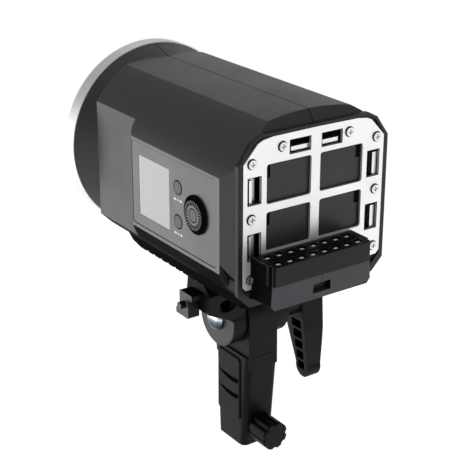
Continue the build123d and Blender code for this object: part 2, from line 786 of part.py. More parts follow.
block_rear_top = light_z - 64.4
block_root = pivot_z + tongue_radius + 0.6
block_foot_outer = light_z - 76.2
block_foot_inner = light_z - 85.0
corner_cut_x, corner_cut_y = 29.0, -6.9  # the clamp's cut front corner
block_slope_half = 5.0  # half length of the block's level top
with BuildPart() as tilt_block:
    # upper block, seen from above, with a cut front corner on the clamp side
    with BuildSketch(Plane.XY.offset(block_root)):
        with BuildLine():
            Polyline(
                (-ear_outer, -block_half_depth), (corner_cut_x, -block_half_depth), (block_x, corner_cut_y),
                (block_x, block_half_depth), (-ear_outer, block_half_depth), close=True,
            )
        make_face()
    extrude(amount=tray_z - block_root)
    # umbrella clamp, with its foot sloping down to the ear
    with BuildSketch(section(block_half_depth, 0)):
        with BuildLine():
            Polyline(
                (ear_inner + 0.4, block_root + 2), (block_x, block_root + 2), (block_x, block_foot_outer),
                (ear_outer, block_foot_inner), (ear_inner + 0.4, block_foot_inner), close=True,
            )
        make_face()
    extrude(amount=2 * block_half_depth)
    with BuildSketch(Plane.XY.offset(block_foot_inner - 5)):
        with BuildLine():
            Polyline(
                (corner_cut_x, -block_half_depth), (60, -block_half_depth), (60, 25),
                (block_x, corner_cut_y), close=True,
            )
        make_face()
    extrude(amount=50, mode=Mode.SUBTRACT)
    # the top slopes up to the tray from both ends, and down to the clamp's outer face
    for side in (1, -1):
        with BuildSketch(left_plane(-60, 0)):
            with BuildLine():
                Polyline(
                    (side * 40, block_rear_top), (side * block_half_depth, block_rear_top),
                    (side * block_slope_half, tray_z + 0.1), (side * 40, tray_z + 0.1), close=True,
                )
            make_face()
        extrude(amount=120, mode=Mode.SUBTRACT)
    with BuildSketch(section(40, 0)):
        with BuildLine():
            Polyline(
                (36.2, tray_z + 0.1), (block_x, block_rear_top - 1), (60, block_rear_top),
                (60, tray_z + 0.1), close=True,
            )
        make_face()
    extrude(amount=80, mode=Mode.SUBTRACT)
    # the two ears
    for side in (1, -1):
        with BuildSketch(left_plane(ear_inner if side > 0 else -ear_outer, pivot_z)):
            Circle(ear_radius)
            with Locations((0, (block_root - pivot_z + 3) / 2)):
                Rectangle(2 * block_half_depth, block_root - pivot_z + 3)
        extrude(amount=ear_outer - ear_inner)
    # room for the handle's tongue, and the recesses for the friction pads
    with Locations((0, 0, pivot_z)):
        Cylinder(tongue_radius + 0.6, 2 * ear_inner, rotation=(0, 90, 0), mode=Mode.SUBTRACT)
        Cylinder(bolt_radius + 0.05, 60, rotation=(0, 90, 0), mode=Mode.SUBTRACT)
    # room for the bolt's domed head under the clamp
    with BuildSketch(left_plane(ear_outer, pivot_z)):
        Circle(7.9)
    extrude(amount=5.2, mode=Mode.SUBTRACT)
    # umbrella shaft hole and the clamp screw's thread
    with Locations((umbrella_x, 0, umbrella_z)):
        Cylinder(umbrella_bore, 60, rotation=(90, 0, 0), mode=Mode.SUBTRACT)
    with BuildSketch(section(block_half_depth, umbrella_z)):
        with Locations((umbrella_x, 0)):
            Ellipse(6.4, umbrella_bore + 0.05)
    extrude(amount=1.6, mode=Mode.SUBTRACT)
    with Locations((umbrella_x, wing_y, wing_z)):
        Cylinder(2.6, 30, **to_left, mode=Mode.SUBTRACT)
    top_edges = tilt_block.edges().filter_by(Axis.X)
    fillet(top_edges.filter_by_position(Axis.Z, block_rear_top - 0.1, block_rear_top + 0.1), 0.8)
finish(tilt_block, "tilt_block")

with BuildPart() as ear_disc:
    with BuildSketch(left_plane(ear_outer, pivot_z)):
        Circle(ear_radius - 0.3)
        Circle(bolt_radius + 0.05, mode=Mode.SUBTRACT)
        with Locations((0, block_foot_inner - pivot_z + 14.6)):
            Rectangle(60, 30, mode=Mode.SUBTRACT)
    extrude(amount=0.8)
finish(ear_disc, "ear_disc")

with BuildPart() as friction_pads:
    for side in (1, -1):
        with BuildSketch(left_plane(side * (ear_inner - pad_thickness / 2) - pad_thickness / 2, pivot_z)):
            Circle(16)
            Circle(bolt_radius + 0.3, mode=Mode.SUBTRACT)
        extrude(amount=pad_thickness)
finish(friction_pads, "friction_pads")

bolt_left, bolt_right = ear_outer + 0.8, -47.0
with BuildPart() as tilt_bolt:
    with BuildSketch(left_plane(bolt_left, pivot_z)):
        Circle(7.6)
    extrude(amount=4)
    fillet(tilt_bolt.faces().sort_by(Axis.X)[-1].edges(), 3.4)
    with BuildSketch(left_plane(bolt_right, pivot_z)):
        Circle(bolt_radius)
    extrude(amount=bolt_left - bolt_right)
finish(tilt_bolt, "tilt_bolt")

lever_inner, lever_outer = -36.0, -53.0
nut_x, nut_radius, nut_length = -40.0, 6.5, 6.0
with BuildPart() as lever_nut:
    with Locations((nut_x, 0, pivot_z)):
        Cylinder(nut_radius, nut_length, **to_right)
        Cylinder(bolt_radius + 0.05, 8, **to_right, mode=Mode.SUBTRACT)
finish(lever_nut, "lever_nut")

with BuildPart() as tilt_lever:
    # collar against the ear
    with BuildSketch(right_plane(-ear_outer - turn_gap, pivot_z)):
        Circle(12)
    extrude(amount=-lever_outer - ear_outer - turn_gap - 3)
    # blade, hanging from the collar and swept to the rear
    with BuildSketch(right_plane(lever_inner, 0)):
        with BuildLine():
            Polyline((10, pivot_z + 8), (4, pivot_z - 20), (-4.5, pivot_z - 46))
            ThreePointArc((-4.5, pivot_z - 46), (-12.4, pivot_z - 54.8), (-17, pivot_z - 45))
            Polyline(
                (-17, pivot_z - 45), (-15.5, pivot_z - 20), (-12, pivot_z), (-8, pivot_z + 10),
                (10, pivot_z + 8),
            )
        make_face()
    extrude(amount=lever_inner - lever_outer)
    # it tapers in width towards the tip
    with BuildSketch(section(60, 0)):
        with BuildLine():
            Polyline(
                (lever_inner - 0.001, pivot_z - 12), (-39.4, pivot_z - 62), (-20, pivot_z - 62),
                (-20, pivot_z - 13), close=True,
            )
        make_face()
        with BuildLine():
            Polyline(
                (lever_outer - 0.1, pivot_z + 1), (-50.4, pivot_z - 30), (-46.6, pivot_z - 62),
                (-60, pivot_z - 62), (-60, pivot_z + 1), close=True,
            )
        make_face()
    extrude(amount=120, mode=Mode.SUBTRACT)
    # hollow inner side with stiffening ribs
    with BuildSketch(right_plane(lever_inner, 0)):
        for step in range(5):
            with Locations((-6.4 - 0.9 * step, pivot_z - 17 - 7.4 * step)):
                RectangleRounded(9.4 - 0.7 * step, 5.8, 1)
    extrude(amount=8, mode=Mode.SUBTRACT)
    with Locations((0, 0, pivot_z)):
        Cylinder(bolt_radius + turn_gap, 120, rotation=(0, 90, 0), mode=Mode.SUBTRACT)
    with Locations((nut_x + turn_gap, 0, pivot_z)):
        Cylinder(nut_radius + turn_gap, 30, **to_right, mode=Mode.SUBTRACT)
finish(tilt_lever, "tilt_lever")

with BuildPart() as lever_cap:
    with Locations((nut_x - nut_length - 0.6, 0, pivot_z)):
        Cylinder(nut_radius, 3.4, **to_right)
        Cylinder(bolt_radius + 0.2, 1.4, **to_right, mode=Mode.SUBTRACT)
finish(lever_cap, "lever_cap")

wing_inner, wing_outer = block_x + turn_gap, 47.4
with BuildPart() as umbrella_screw:
    with BuildSketch(left_plane(wing_inner, wing_z)) as umbrella_screw_outline:
        with Locations((wing_y, 0)):
            Rectangle(9.6, 16.6)
            with Locations((2.6, 6.3), (-2.6, -6.3)):
                Rectangle(12.4, 4.0)
        fillet(umbrella_screw_outline.vertices(), 0.9)
    extrude(amount=wing_outer - wing_inner)
    with Locations((umbrella_x + umbrella_bore + 1.2, wing_y, wing_z)):
        Cylinder(2.3, 20, **to_left)
    with Locations((wing_outer, wing_y, wing_z)):
        Cylinder(1.4, 4, rotation=(0, 90, 0), mode=Mode.SUBTRACT)
finish(umbrella_screw, "umbrella_screw")

# ---- handle -------------------------------------------------------------------------------
with BuildPart() as handle_core:
    with BuildSketch(Plane.XY):
        with Locations((0, 0.6)):
            RectangleRounded(2 * handle_half - 1, 28.5, 4)
    with BuildSketch(Plane.XY.offset(shoulder_z)):
        with Locations((0, 2)):
            RectangleRounded(2 * handle_half, 36.4, 4)
    loft()
    with BuildSketch(left_plane(-tongue_half, 0)):
        with Locations((0, pivot_z)):
            Circle(tongue_radius)
        with BuildLine():
            Polyline(
                (-16.2, shoulder_z - 8), (20.1, shoulder_z - 8), (tongue_radius, pivot_z),
                (-tongue_radius, pivot_z), close=True,
            )
        make_face()
    extrude(amount=2 * tongue_half)
    with Locations((0, 0, pivot_z)):
        Cylinder(bolt_radius + turn_gap, 60, rotation=(0, 90, 0), mode=Mode.SUBTRACT)
    # seats for the side grips
    for side in (1, -1):
        with BuildSketch(left_plane(side * 15 - 5.6, 0)):
            with Locations((0, 40)):
                RectangleRounded(24.4, 44.4, 3)
        extrude(amount=11.2, mode=Mode.SUBTRACT)
    # stand socket with its sleeve, and the locking screw's hole
    Cylinder(9.6, 2 * (socket_depth + 2), mode=Mode.SUBTRACT)
    with Locations((0, 0, stand_knob_z)):
        Cylinder(3.4, 30, **to_rear, mode=Mode.SUBTRACT)
finish(handle_core, "handle_core")

for side, name in ((1, "left_grip"), (-1, "right_grip")):
    with BuildPart() as grip:
        with BuildSketch(left_plane(side * 11.25 - 1.65, 0)):
            with Locations((0, 40)):
                RectangleRounded(24.2, 44.2, 2.9)
        extrude(amount=3.3)
        fillet(grip.faces().sort_by(Axis.X)[-1 if side > 0 else 0].edges(), 1.0)
        for low in (33.5, 44.5):
            with BuildSketch(left_plane(side * 13.4 - 1.6, 0)):
                with BuildLine():
                    ThreePointArc((-11.4, low + 3.6), (0, low - 0.6), (11, low))
                    Line((11, low), (11, low + 3.2))
                    ThreePointArc((11, low + 3.2), (0, low + 2.4), (-11.4, low + 3.6))
                make_face()
            extrude(amount=3.2, mode=Mode.SUBTRACT)
    finish(grip, name)

with BuildPart() as socket_sleeve:
    Cylinder(9.55, socket_depth + 2, **upwards)
    Cylinder(socket_radius, 2 * socket_depth, mode=Mode.SUBTRACT)
    with Locations((0, 0, stand_knob_z)):
        Cylinder(3.15, 30, **to_rear, mode=Mode.SUBTRACT)
finish(socket_sleeve, "socket_sleeve")

knob_root = 15.9
with BuildPart() as stand_knob:
    with Locations((0, 0, stand_knob_z)):
        with Locations((0, socket_radius + 0.6, 0)):
            Cylinder(3.0, 14, **to_rear)
    with BuildSketch(section(knob_root + 18, stand_knob_z)):
        Circle(9.5)
        with PolarLocations(10.6, 8):
            Circle(2.2, mode=Mode.SUBTRACT)
    extrude(amount=16)
    chamfer(stand_knob.faces().sort_by(Axis.Y)[-1].edges(), 0.8)
finish(stand_knob, "stand_knob")
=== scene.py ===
"""Looks for the monolight strobe: camera, soft studio light, materials and fine detail."""
import math

import bpy
import bmesh
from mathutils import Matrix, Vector


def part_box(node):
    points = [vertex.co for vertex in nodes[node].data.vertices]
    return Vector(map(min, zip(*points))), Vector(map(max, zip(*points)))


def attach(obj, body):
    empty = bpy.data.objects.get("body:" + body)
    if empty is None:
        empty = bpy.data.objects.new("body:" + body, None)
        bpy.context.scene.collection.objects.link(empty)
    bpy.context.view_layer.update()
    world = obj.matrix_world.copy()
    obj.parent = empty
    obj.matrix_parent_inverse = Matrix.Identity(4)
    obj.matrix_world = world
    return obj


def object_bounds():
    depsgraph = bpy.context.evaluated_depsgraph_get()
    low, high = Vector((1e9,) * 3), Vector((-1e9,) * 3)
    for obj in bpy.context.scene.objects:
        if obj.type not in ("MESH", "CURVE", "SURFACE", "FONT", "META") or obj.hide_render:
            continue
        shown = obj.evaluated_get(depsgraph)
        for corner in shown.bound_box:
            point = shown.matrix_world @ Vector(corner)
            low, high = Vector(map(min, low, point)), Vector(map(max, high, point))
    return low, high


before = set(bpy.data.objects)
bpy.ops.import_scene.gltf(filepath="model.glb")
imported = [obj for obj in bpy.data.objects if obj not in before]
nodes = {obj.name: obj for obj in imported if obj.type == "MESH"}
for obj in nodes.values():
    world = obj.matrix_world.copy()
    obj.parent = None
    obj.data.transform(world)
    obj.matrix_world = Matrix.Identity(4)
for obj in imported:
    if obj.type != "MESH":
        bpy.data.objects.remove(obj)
cad_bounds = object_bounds()
scene = bpy.context.scene

MM = 0.001


# ---- shared places, from the frame ---------------------------------------------------------
def span(node):
    """Lowest corner, highest corner and middle of a CAD node."""
    low, high = (Vector(corner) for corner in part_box(node))
    return low, high, (low + high) / 2


plate_y = span("battery_plate")[1].y  # the battery plate's rear face
_, ring_high, ring_mid = span("front_ring")
light_z = ring_mid.z  # the light axis, at x = 0
overlay_low, overlay_high, _ = span("panel_overlay")
_, dial_high, dial_mid = span("select_dial")
button_spots = [span(name)[2] for name in ("button_upper", "button_lower")]


# ---- materials -----------------------------------------------------------------------------
class Surface:
    """A node material built up step by step in object coordinates."""

    def __init__(self, name, roughness, metallic=0.0, coat=0.0):
        self.material = bpy.data.materials.new(name)
        self.material.use_nodes = True
        self.tree = self.material.node_tree
        self.shader = self.tree.nodes["Principled BSDF"]
        self.shader.inputs["Roughness"].default_value = roughness
        self.shader.inputs["Metallic"].default_value = metallic
        self.shader.inputs["Coat Weight"].default_value = coat
        self.coords = self.node("ShaderNodeTexCoord")
        self.normal = None

    def node(self, kind, **settings):
        made = self.tree.nodes.new(kind)
        for key, value in settings.items():
            setattr(made, key, value)
        return made

    def link(self, source, target):
        self.tree.links.new(source, target)

    def noise(self, scale, detail, axis_scale=(1, 1, 1), roughness=0.55):
        """Fractal noise; axis_scale makes it finer or coarser along one axis."""
        mapping = self.node("ShaderNodeMapping")
        mapping.inputs["Scale"].default_value = axis_scale
        self.link(self.coords.outputs["Object"], mapping.inputs["Vector"])
        texture = self.node("ShaderNodeTexNoise")
        texture.inputs["Scale"].default_value = scale
        texture.inputs["Detail"].default_value = detail
        texture.inputs["Roughness"].default_value = roughness
        self.link(mapping.outputs["Vector"], texture.inputs["Vector"])
        return texture.outputs["Fac"]

    def ramp(self, source, stops):
        made = self.node("ShaderNodeValToRGB")
        elements = made.color_ramp.elements
        while len(elements) < len(stops):
            elements.new(0.5)
        for element, (position, colour) in zip(elements, stops):
            element.position = position
            element.color = (*colour, 1)
        self.link(source, made.inputs["Fac"])
        return made.outputs["Color"]

    def height_ramp(self, node_name, stops):
        """A colour that changes over a CAD node's height, from 0 at its foot to 1 at its top."""
        low, high, _ = span(node_name)
        split = self.node("ShaderNodeSeparateXYZ")
        self.link(self.coords.outputs["Object"], split.inputs["Vector"])
        height = self.node("ShaderNodeMapRange")
        height.inputs["From Min"].default_value = low.z
        height.inputs["From Max"].default_value = high.z
        self.link(split.outputs["Z"], height.inputs["Value"])
        return self.ramp(height.outputs["Result"], stops)

    def colour(self, dark, light, scale=9.0):
        """Broad, soft colour variation."""
        tint = self.ramp(self.noise(scale, detail=4), [(0.3, dark), (0.7, light)])
        self.link(tint, self.shader.inputs["Base Color"])

    def gloss(self, low, high, scale=40.0, axis_scale=(1, 1, 1)):
        """Roughness that varies with handling."""
        made = self.node("ShaderNodeMapRange")
        made.inputs["To Min"].default_value = low
        made.inputs["To Max"].default_value = high
        self.link(self.noise(scale, 5, axis_scale), made.inputs["Value"])
        self.link(made.outputs["Result"], self.shader.inputs["Roughness"])

    def grain(self, scale, strength, distance=0.1, axis_scale=(1, 1, 1)):
        """Moulded or brushed grain as a bump, its distance in mm."""
        bump = self.node("ShaderNodeBump")
        bump.inputs["Strength"].default_value = strength
        bump.inputs["Distance"].default_value = distance * MM
        self.link(self.noise(scale, 2, axis_scale, roughness=0.6), bump.inputs["Height"])
        if self.normal is not None:
            self.link(self.normal, bump.inputs["Normal"])
        self.normal = bump.outputs["Normal"]
        self.link(self.normal, self.shader.inputs["Normal"])

    def soft_edges(self, radius):
        """Rounds the light on sharp edges, as a moulding's small radii do; the radius is in mm."""
        bevel = self.node("ShaderNodeBevel", samples=6)
        bevel.inputs["Radius"].default_value = radius * MM
        self.normal = bevel.outputs["Normal"]
        self.link(self.normal, self.shader.inputs["Normal"])


def plastic(name, dark, light, rough, grain_scale, grain, edge=0.5, shine=0.5):
    """Moulded plastic; edge is its corner radius in mm and shine the strength of its reflections."""
    surface = Surface(name, rough)
    surface.shader.inputs["Specular IOR Level"].default_value = shine
    surface.colour(dark, light)
    surface.gloss(rough - 0.08, rough + 0.08)
    surface.soft_edges(edge)
    surface.grain(grain_scale, grain)
    return surface.material


def metal(name, dark, light, rough, axis_scale, grain_scale=900, grain=0.12):
    """Brushed, satin or polished metal; axis_scale sets the direction of the brushing."""
    surface = Surface(name, rough, metallic=1.0)
    surface.colour(dark, light, scale=30)
    surface.gloss(rough - 0.06, rough + 0.08, scale=60, axis_scale=axis_scale)
    surface.soft_edges(0.3)
    surface.grain(grain_scale, grain, distance=0.03, axis_scale=axis_scale)
    return surface.material


body = plastic(
    "body_charcoal", (0.018, 0.0185, 0.0195), (0.025, 0.0255, 0.027), 0.42,
    grain_scale=1500, grain=0.9, edge=0.8, shine=0.42,
)
rim = plastic(
    "panel_rim", (0.092, 0.097, 0.099), (0.104, 0.109, 0.111), 0.42,
    grain_scale=2600, grain=0.2, edge=0.4,
)
panel = plastic(
    "panel_grey", (0.082, 0.087, 0.089), (0.092, 0.097, 0.099), 0.42,
    grain_scale=2600, grain=0.2, edge=0.4,
)
grey = plastic(
    "satin_grey", (0.036, 0.037, 0.039), (0.044, 0.045, 0.047), 0.42,
    grain_scale=2000, grain=0.3, shine=0.3,
)
bezel = plastic(
    "bezel_grey", (0.009, 0.009, 0.010), (0.013, 0.013, 0.0145), 0.42,
    grain_scale=2000, grain=0.3, shine=0.2,
)
key_grey = plastic(
    "key_grey", (0.052, 0.055, 0.057), (0.060, 0.063, 0.065), 0.46,
    grain_scale=2600, grain=0.2, edge=0.4, shine=0.4,
)
# Satin black for the black parts, also used as painted shade on the side below the pod's rear end
# and on the umbrella screw's sides.
black_and_painted_shade = plastic(
    "satin_black_and_painted_shade", (0.003, 0.003, 0.0035), (0.005, 0.005, 0.0055), 0.42,
    grain_scale=1800, grain=0.35, edge=0.6, shine=0.09,
)
block_black = plastic(
    "cast_black", (0.004, 0.004, 0.0045), (0.007, 0.007, 0.008), 0.42,
    grain_scale=1200, grain=0.5, edge=0.8, shine=0.075,
)
# Flat, almost unreflecting black: the base tray's own colour, also used as painted shade on the
# shells' and bezel's undersides, the connector housing's flanks, the umbrella hole, the shaded
# tongues and the grips' pocket floors.
tray_black_and_painted_shade = plastic(
    "tray_black_and_painted_shade", (0.0035, 0.0035, 0.004), (0.006, 0.006, 0.0065), 0.55,
    grain_scale=1200, grain=0.4, edge=0.6, shine=0.004,
)
gloss_black = plastic(
    "gloss_black", (0.005, 0.005, 0.0055), (0.008, 0.008, 0.009), 0.32,
    grain_scale=1600, grain=0.2, edge=0.6, shine=0.12,
)
housing = plastic(
    "housing_grey", (0.030, 0.032, 0.037), (0.040, 0.043, 0.049), 0.44,
    grain_scale=1800, grain=0.15, edge=0.6, shine=0.25,
)
disc = plastic(
    "disc_grey", (0.034, 0.035, 0.037), (0.042, 0.043, 0.045), 0.48,
    grain_scale=2400, grain=0.25, edge=0.4, shine=0.3,
)
screen_back = plastic(
    "screen_black", (0.017, 0.017, 0.020), (0.021, 0.021, 0.025), 0.42,
    grain_scale=900, grain=0.25, edge=0.3, shine=0.24,
)
rubber = plastic(
    "pad_rubber", (0.020, 0.017, 0.016), (0.030, 0.026, 0.024), 0.8,
    grain_scale=1400, grain=0.6,
)
# The contact blades aren't a metal here, because a metal would mirror the dark block round them.
brass = plastic(
    "contact_brass", (0.86, 0.80, 0.54), (0.94, 0.90, 0.68), 0.34,
    grain_scale=1200, grain=0.1, edge=0.3, shine=0.8,
)
ceramic = plastic(
    "ceramic", (0.70, 0.68, 0.62), (0.78, 0.76, 0.70), 0.5,
    grain_scale=1200, grain=0.3,
)
board = plastic(
    "board_green", (0.015, 0.085, 0.035), (0.022, 0.110, 0.048), 0.4,
    grain_scale=700, grain=0.5,
)
phosphor = plastic(
    "phosphor", (0.80, 0.66, 0.22), (0.88, 0.76, 0.32), 0.35,
    grain_scale=1200, grain=0.3,
)
marking = plastic(
    "marking_white", (0.72, 0.72, 0.72), (0.80, 0.80, 0.80), 0.5,
    grain_scale=1200, grain=0.1, edge=0.1,
)
tongue = metal("tongue_steel", (0.50, 0.50, 0.51), (0.58, 0.58, 0.59), 0.36, (1, 1, 3))
ring = metal("ring_satin", (0.70, 0.70, 0.71), (0.76, 0.76, 0.77), 0.50, (1, 0.1, 1))
steel = metal("bright_steel", (0.62, 0.62, 0.63), (0.74, 0.74, 0.75), 0.24, (1, 1, 6))
screw_steel = metal("screw_steel", (0.44, 0.44, 0.45), (0.54, 0.54, 0.55), 0.34, (1, 1, 4))
reflector = metal(
    "reflector_foil", (0.80, 0.80, 0.80), (0.90, 0.90, 0.90), 0.16, (1, 1, 1),
    grain_scale=300, grain=0.3,
)


def satin_plate():
    """Bead-blasted, near white battery plate."""
    surface = Surface("plate_satin", 0.42, metallic=0.55)
    surface.colour((0.66, 0.67, 0.68), (0.72, 0.725, 0.73), scale=14)
    surface.gloss(0.34, 0.46, scale=50)
    surface.soft_edges(0.25)
    surface.grain(1800, 0.2, distance=0.05)
    return surface.material


def bolt_with_painted_reflection():
    """Polished bolt metal whose colour holds a painted reflection: a bright sky painted on its upper
    part and the dark bracket on its lower part.
    """
    surface = Surface("chrome", 0.08, metallic=1.0)
    tint = surface.height_ramp("tilt_bolt", [
        (0.28, (0.04, 0.042, 0.05)), (0.40, (0.07, 0.085, 0.13)),
        (0.52, (0.20, 0.24, 0.33)), (0.60, (0.84, 0.86, 0.90)),
    ])
    surface.link(tint, surface.shader.inputs["Base Color"])
    surface.gloss(0.06, 0.12, scale=60)
    surface.grain(400, 0.02, distance=0.03)
    return surface.material


def quartz():
    """Clear flash tube."""
    surface = Surface("quartz_glass", 0.05)
    surface.shader.inputs["Transmission Weight"].default_value = 0.9
    surface.shader.inputs["IOR"].default_value = 1.46
    surface.colour((0.94, 0.95, 0.95), (0.98, 0.98, 0.98))
    surface.gloss(0.02, 0.10)
    return surface.material


def lcd_glass():
    """Unlit display: pale grey, a little warmer towards its foot, with a faint pixel grid."""
    surface = Surface("lcd_glass", 0.22, coat=0.5)
    tint = surface.height_ramp("lcd_window", [
        (0.0, (0.262, 0.250, 0.254)), (0.35, (0.267, 0.270, 0.276)), (1.0, (0.280, 0.284, 0.290)),
    ])
    grid = surface.node("ShaderNodeTexChecker")
    grid.inputs["Scale"].default_value = 1600
    grid.inputs["Color1"].default_value = (1, 1, 1, 1)
    grid.inputs["Color2"].default_value = (0.965, 0.965, 0.965, 1)
    surface.link(surface.coords.outputs["Object"], grid.inputs["Vector"])
    mixed = surface.node("ShaderNodeMix", data_type="RGBA", blend_type="MULTIPLY")
    mixed.inputs["Factor"].default_value = 1.0
    # Inputs 6 and 7 are the mixer's two colours, and output 2 is its colour result.
    surface.link(tint, mixed.inputs[6])
    surface.link(grid.outputs["Color"], mixed.inputs[7])
    surface.link(mixed.outputs[2], surface.shader.inputs["Base Color"])
    surface.gloss(0.16, 0.26, scale=30)
    surface.grain(3000, 0.05, distance=0.02)
    return surface.material


finishes = {
    body: ["left_shell", "right_shell"],
    bezel: ["rear_bezel"],
    panel: ["select_dial", "panel_overlay"],
    key_grey: ["button_upper", "button_lower", "dial_button"],
    grey: ["umbrella_screw"],
    black_and_painted_shade: [
        "mount_release", "fan_frame", "fan_rotor", "capacitors", "lcd_module", "sync_jack",
        "switch_frame", "lever_cap", "stand_knob", "tilt_lever",
    ],
    gloss_black: ["connector_block", "power_switch"],
    block_black: ["tilt_block", "handle_core", "left_grip", "right_grip"],
    tray_black_and_painted_shade: ["base_tray"],
    housing: ["connector_housing"],
    disc: ["ear_disc"],
    screen_back: ["window_screens"],
    rubber: ["friction_pads"],
    ring: ["front_ring", "mount_barrel", "socket_sleeve"],
    steel: ["mount_plate", "mount_screws", "tray_screws", "lever_nut", "heat_sink"],
    screw_steel: ["plate_screws"],
    reflector: ["reflector_pan"],
    brass: ["contact_blades"],
    ceramic: ["lamp_base"],
    board: ["power_board", "control_board"],
    phosphor: ["modelling_led"],
    tongue: ["latch_tongues"],
    satin_plate(): ["battery_plate"],
    bolt_with_painted_reflection(): ["tilt_bolt"],
    quartz(): ["flash_tube"],
    lcd_glass(): ["lcd_window"],
}
for material, names in finishes.items():
    for name in names:
        node_data = nodes[name].data
        node_data.materials.clear()
        node_data.materials.append(material)


# ---- second finishes on parts of a CAD node ------------------------------------------------
def second_finish(name, material, chosen):
    """Gives some faces of a CAD node a second material, chosen by their middle and normal."""
    mesh = nodes[name].data
    mesh.materials.append(material)
    index = len(mesh.materials) - 1
    for polygon in mesh.polygons:
        if chosen(polygon.center, polygon.normal):
            polygon.material_index = index


# Limits for the choosers below. A face looks along an axis when its normal's part along that
# axis is above square_on.
square_on = 0.9
pod_face_x = overlay_high.x + 0.1 * MM  # the raised frame round the overlay lies past this
pod_foot_z, pod_tail_y = light_z - 31 * MM, plate_y - 20 * MM  # the side below the pod's rear end
dial_face_radius = 8.8 * MM  # the ribbed rim lies past this
screen_pocket_y = plate_y - 2.6 * MM  # the floors of the screens' pockets lie in front of this
tongue_foot_y = plate_y - 3.9 * MM  # the feet of the tongues lie in front of this
lit_tongue_x = 30 * MM  # the upright tongues on the panel's side lie past this
belly_z, collar_y = light_z - 20 * MM, plate_y - 152 * MM  # the underside, up to the front collar
bore_x, bore_z, bore_reach = 25.6 * MM, light_z - 73.2 * MM, 4.6 * MM  # the umbrella hole
grip_floor_low, grip_floor_high = 11.0 * MM, 12.2 * MM  # the grips' pocket floors lie between


def on_pod_frame(middle, normal):
    return middle.x > pod_face_x and normal.x > square_on


def on_dial_rim(middle, normal):
    return math.hypot(middle.y - dial_mid.y, middle.z - dial_mid.z) > dial_face_radius


def off_screen_face(middle, normal):
    return normal.y < square_on or middle.y < screen_pocket_y


# Downward faces of the underside, rear of the front collar: painted shade.
def painted_shade_under_body(middle, normal):
    return normal.z < -0.12 and middle.z < belly_z and middle.y > collar_y


# The side faces below the pod's rear end: painted shade.
def painted_shade_below_pod_tail(middle, normal):
    return normal.x > square_on and middle.z < pod_foot_z and middle.y > pod_tail_y


# The walls of the umbrella hole through the tilt block: painted shade.
def painted_shade_in_bore(middle, normal):
    return math.hypot(middle.x - bore_x, middle.z - bore_z) < bore_reach and abs(normal.y) < 0.5


def on_shaded_tongue(middle, normal):
    return middle.y < tongue_foot_y and middle.x < lit_tongue_x


# The floors of the grips' curved pockets: painted shade.
def painted_shade_on_pocket_floor(middle, normal):
    return grip_floor_low < abs(middle.x) < grip_floor_high and abs(normal.x) > square_on


second_finish("left_shell", rim, on_pod_frame)
second_finish("select_dial", tray_black_and_painted_shade, on_dial_rim)
# The bezel's downward faces are painted black as shade.
second_finish("rear_bezel", tray_black_and_painted_shade, lambda middle, normal: normal.z < -0.3)
second_finish("window_screens", black_and_painted_shade, off_screen_face)
# The shells' undersides are painted black as shade.
second_finish("left_shell", tray_black_and_painted_shade, painted_shade_under_body)
# The side below the pod's rear end is painted black as shade.
second_finish("left_shell", black_and_painted_shade, painted_shade_below_pod_tail)
second_finish("right_shell", tray_black_and_painted_shade, painted_shade_under_body)
# The connector housing's flanks, facing along X, are painted black as shade.
second_finish("connector_housing", tray_black_and_painted_shade, lambda middle, normal: abs(normal.x) > 0.7)
# The umbrella screw's faces other than its grey end face, which faces +X, are painted black as
# shade.
second_finish("umbrella_screw", black_and_painted_shade, lambda middle, normal: normal.x < 0.7)
# The umbrella hole's walls are painted black as shade.
second_finish("tilt_block", tray_black_and_painted_shade, painted_shade_in_bore)
second_finish("latch_tongues", tray_black_and_painted_shade, on_shaded_tongue)
# The grips' pocket floors are painted black as shade.
second_finish("left_grip", tray_black_and_painted_shade, painted_shade_on_pocket_floor)
second_finish("right_grip", tray_black_and_painted_shade, painted_shade_on_pocket_floor)


# ---- mesh helpers for fine detail ----------------------------------------------------------
def piece(name, mesh_maker, material, body_name):
    """A detail piece made in bmesh, with its material and body."""
    mesh = bpy.data.meshes.new(name)
    work = bmesh.new()
    mesh_maker(work)
    bmesh.ops.recalc_face_normals(work, faces=work.faces)
    work.to_mesh(mesh)
    work.free()
    made = bpy.data.objects.new(name, mesh)
    scene.collection.objects.link(made)
    mesh.materials.append(material)
    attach(made, body_name)


def rounded_bar(work, middle, size):
    """A thin box with finely rounded edges, sizes in metres."""
    verts = bmesh.ops.create_cube(work, size=1.0)["verts"]
    bmesh.ops.scale(work, vec=size, verts=verts)
    bmesh.ops.translate(work, vec=middle, verts=verts)
    edges = list({edge for vert in verts for edge in vert.link_edges})
    bmesh.ops.bevel(work, geom=edges, offset=0.02 * MM, segments=2, affect="EDGES", profile=0.5)


def join_loops(work, loops):
    """Faces from each loop of points to the next, and from the last to the first."""
    for first, second in zip(loops, loops[1:] + loops[:1]):
        for step in range(len(first)):
            after = (step + 1) % len(first)
            work.faces.new((first[step], first[after], second[after], second[step]))


def washer(work, middle, inner, outer, height):
    """A thin flat ring round an axis along Y."""
    steps = 32
    loops = []
    for radius, lift in ((inner, 0), (inner, height), (outer, height), (outer, 0)):
        loop = []
        for step in range(steps):
            angle = 2 * math.pi * step / steps
            across, up = radius * math.cos(angle), radius * math.sin(angle)
            loop.append(work.verts.new(middle + Vector((across, lift, up))))
        loops.append(loop)
    join_loops(work, loops)


def prism(work, first_outline, second_outline):
    """The closed solid between two matching outlines."""
    first = [work.verts.new(point) for point in first_outline]
    second = [work.verts.new(point) for point in second_outline]
    work.faces.new(first)
    work.faces.new(second[::-1])
    for corner in range(len(first)):
        after = (corner + 1) % len(first)
        work.faces.new((first[corner], second[corner], second[after], first[after]))


